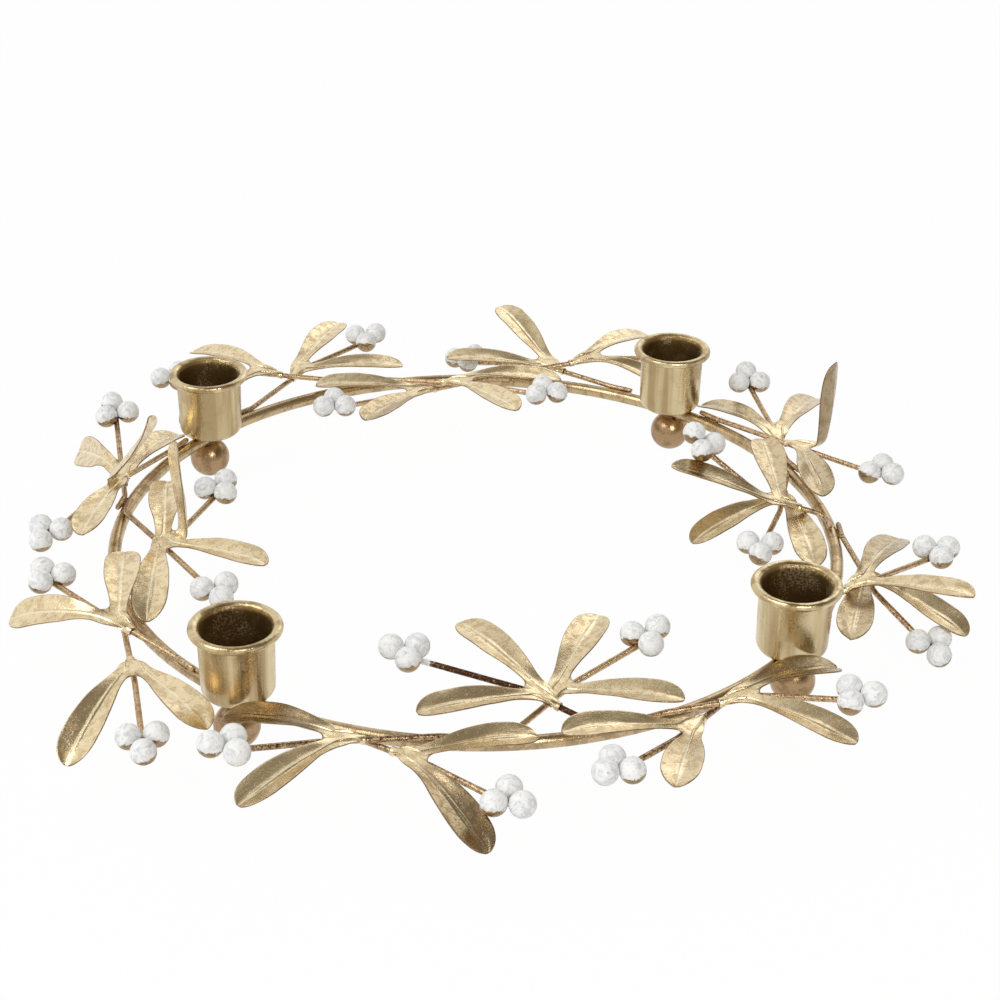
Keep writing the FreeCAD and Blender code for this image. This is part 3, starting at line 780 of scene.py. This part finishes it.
# The rib is rubbed paler and carries a painted highlight; the rim is darker, and some leaves are browner
for name, low, high, most, tint in (("rib", 0.4, 0.9, 0.6, colour(250, 243, 216)),
                                    ("rim", 0.55, 1.0, 0.75, colour(112, 86, 56)),
                                    ("browning", 0.0, 1.0, 1.0, colour(104, 76, 46))):
    skin = mixed(tree, between(tree, mark(tree, name), low, high, end=most), skin, tint)
feed(tree, tree.nodes["Principled BSDF"], {"Base Color": skin})

for number, sprig in enumerate(SPRIGS, 1):
    sheet = piece("leaf_pair_gold_%02d" % number, leaf_pair(sprig, number), leaf_gold,
                  "leaf_metal", "leaf_pair_%02d" % number)
    wall = sheet.modifiers.new("sheet", "SOLIDIFY")
    wall.thickness = LEAF_SHEET * MILLIMETRE
    wall.offset = 0
    soft = sheet.modifiers.new("soft", "SUBSURF")
    soft.levels = soft.render_levels = 1


# Berries. Three small turned balls soldered together at each stem's end, brushed with white
# paint from above: it is thin in swirls, and the undersides stay bare brass.
BERRY_RADIUS = 4.15
BERRY_GAP = 0.1
BERRY_LIFT = 2.2
BERRY_DENT = 0.012
BERRY_DENT_PITCH = 0.5
PAINT_TILT = 0.9
TILT_PITCHES = (3.1, 2.3)
PAINT_RAGGEDNESS = 0.9
PAINT_THICKNESS = 0.6

berry_white = bpy.data.materials.new("berry_white")
berry_white.use_nodes = True
tree = berry_white.node_tree
place = node(tree, "TexCoord", {}).outputs["Object"]

# The paint ends in a ragged edge low on each berry, with bare brass below it
ragged = speckle(tree, place, scale=520, detail=6, roughness=0.7)
paint_edge = maths(tree, "MULTIPLY_ADD", ragged, PAINT_RAGGEDNESS, mark(tree, "under"))
bare = between(tree, paint_edge, low=0.70, high=0.75)

# It is thinner in swirls, and a few small chips are missing
swirl = speckle(tree, place, scale=330, detail=5, roughness=0.65, distortion=1.6)
paint = graded(tree, swirl, (0.46, colour(236, 237, 236)), (0.72, colour(186, 189, 193)))
chips = between(tree, speckle(tree, place, scale=1300, detail=3), low=0.70, high=0.76)
chipped = mixed(tree, chips, paint, colour(96, 88, 78))

brass = node(tree, "Group", {
    "Metal": colour(150, 124, 92), "Patches": colour(104, 82, 58), "Rubbed": colour(226, 202, 152),
    "Pits": colour(70, 50, 32), "Patch Scale": 300.0, "Patch Amount": 0.7}, node_tree=mottled_metal)
coat = maths(tree, "MULTIPLY_ADD", bare, -PAINT_THICKNESS, swirl)
relief = node(tree, "Bump", {"Strength": 0.5, "Distance": 0.0002, "Height": coat})
feed(tree, tree.nodes["Principled BSDF"], {
    "Base Color": mixed(tree, bare, chipped, brass.outputs["Color"]), "Metallic": bare,
    "Roughness": between(tree, bare, low=0.0, high=1.0, start=0.55, end=0.30),
    "Normal": relief.outputs["Normal"]})


def add_berries(cluster, sprig, shade):
    """Sets three balls round the stem's end, with the tilt of the paint on each."""
    points, stem = sprig_route(sprig)[::3]
    side = UP.cross(stem).normalized()
    heart = points[-1] + stem.cross(side) * BERRY_LIFT
    spread = (2 * BERRY_RADIUS + BERRY_GAP) / sqrt(3)
    for third in range(3):
        angle = radians(sprig.berry_turn + third * 120)
        centre = heart + stem * (spread * cos(angle)) + side * (spread * sin(angle))
        ball = bmesh.ops.create_icosphere(
            cluster, subdivisions=4, radius=BERRY_RADIUS, matrix=Matrix.Translation(centre))
        tilt = Vector((PAINT_TILT * noise.noise(centre * TILT_PITCHES[0]),
                       PAINT_TILT * noise.noise(centre * TILT_PITCHES[1] + UP), -1)).normalized()
        for vert in ball["verts"]:
            out = (vert.co - centre) / BERRY_RADIUS
            vert[shade] = out.dot(tilt)
            dent = BERRY_DENT * noise.noise(vert.co * BERRY_DENT_PITCH)
            vert.co = centre + out * BERRY_RADIUS * (1 + dent)


for number, pair in enumerate(PAIRS, 1):
    cluster = bmesh.new()
    shade = cluster.verts.layers.float.new("under")
    for sprig in pair:
        add_berries(cluster, sprig, shade)
    piece("white_berries_%02d" % number, cluster, berry_white, "berry_paint", "berries_%02d" % number)


# The table and the light. A plain white floor and a white room with soft lamps: one broad lamp
# over the left, one behind on the right, and a fill in front, above the camera.
FLOOR_SIZE = 4.0
FLOOR_WHITENESS = 0.97
DARKER_TO_THE_RIGHT = 0.42
DARKER_TO_THE_FRONT = -0.35

# Each lamp's place and size in metres, and its power in watts
LAMPS = (
    ("broad_lamp", (-0.9, -0.3, 1.3), 0.8, 7.5),
    ("back_lamp", (0.7, 1.1, 0.9), 0.8, 1.5),
    ("front_lamp", (0.2, -1.15, 0.95), 0.5, 6.0),
)

floor_paint = bpy.data.materials.new("floor_white")
floor_paint.use_nodes = True
tree = floor_paint.node_tree
chalk = feed(tree, tree.nodes["Principled BSDF"], {
    "Base Color": (0.86, 0.86, 0.86, 1), "Roughness": 0.9, "Specular IOR Level": 0.1})
ray = node(tree, "LightPath", {}).outputs
seen = maths(tree, "MAXIMUM", ray["Is Camera Ray"], ray["Is Glossy Ray"])
blend = node(tree, "MixShader", {
    "Fac": maths(tree, "MULTIPLY", seen, FLOOR_WHITENESS), 1: chalk.outputs["BSDF"],
    2: node(tree, "Emission", {}).outputs["Emission"]})
feed(tree, tree.nodes["Material Output"], {"Surface": blend.outputs["Shader"]})
floor_shape = bmesh.new()
bmesh.ops.create_grid(floor_shape, x_segments=1, y_segments=1, size=FLOOR_SIZE)
floor_mesh = bpy.data.meshes.new("floor")
floor_shape.to_mesh(floor_mesh)
floor_shape.free()
floor_mesh.materials.append(floor_paint)
floor = bpy.data.objects.new("floor", floor_mesh)
bpy.context.scene.collection.objects.link(floor)

# The room is white low down and dims to a warm brown high up, most to the right and in front,
# so that the brass has brown reflections. The camera itself sees plain white.
room = bpy.data.worlds.new("room")
bpy.context.scene.world = room
room.use_nodes = True
tree = room.node_tree
way = node(tree, "SeparateXYZ", {"Vector": node(tree, "TexCoord", {}).outputs["Generated"]}).outputs
dimness = maths(tree, "MULTIPLY_ADD", way["X"], DARKER_TO_THE_RIGHT, way["Z"])
dimness = maths(tree, "MULTIPLY_ADD", way["Y"], DARKER_TO_THE_FRONT, dimness)
walls = graded(tree, dimness, (0.5, (1, 1, 1, 1)), (0.88, (0.24, 0.21, 0.17, 1)))
camera_ray = node(tree, "LightPath", {}).outputs["Is Camera Ray"]
feed(tree, tree.nodes["Background"], {"Color": mixed(tree, camera_ray, walls, (1, 1, 1, 1))})

for name, spot, size, power in LAMPS:
    lamp = bpy.data.objects.new(name, bpy.data.lights.new(name, "AREA"))
    lamp.data.size = size
    lamp.data.energy = power
    lamp.matrix_world = Matrix.Translation(spot) @ facing(Vector(spot))
    bpy.context.scene.collection.objects.link(lamp)

bpy.context.scene.view_settings.view_transform = "Standard"
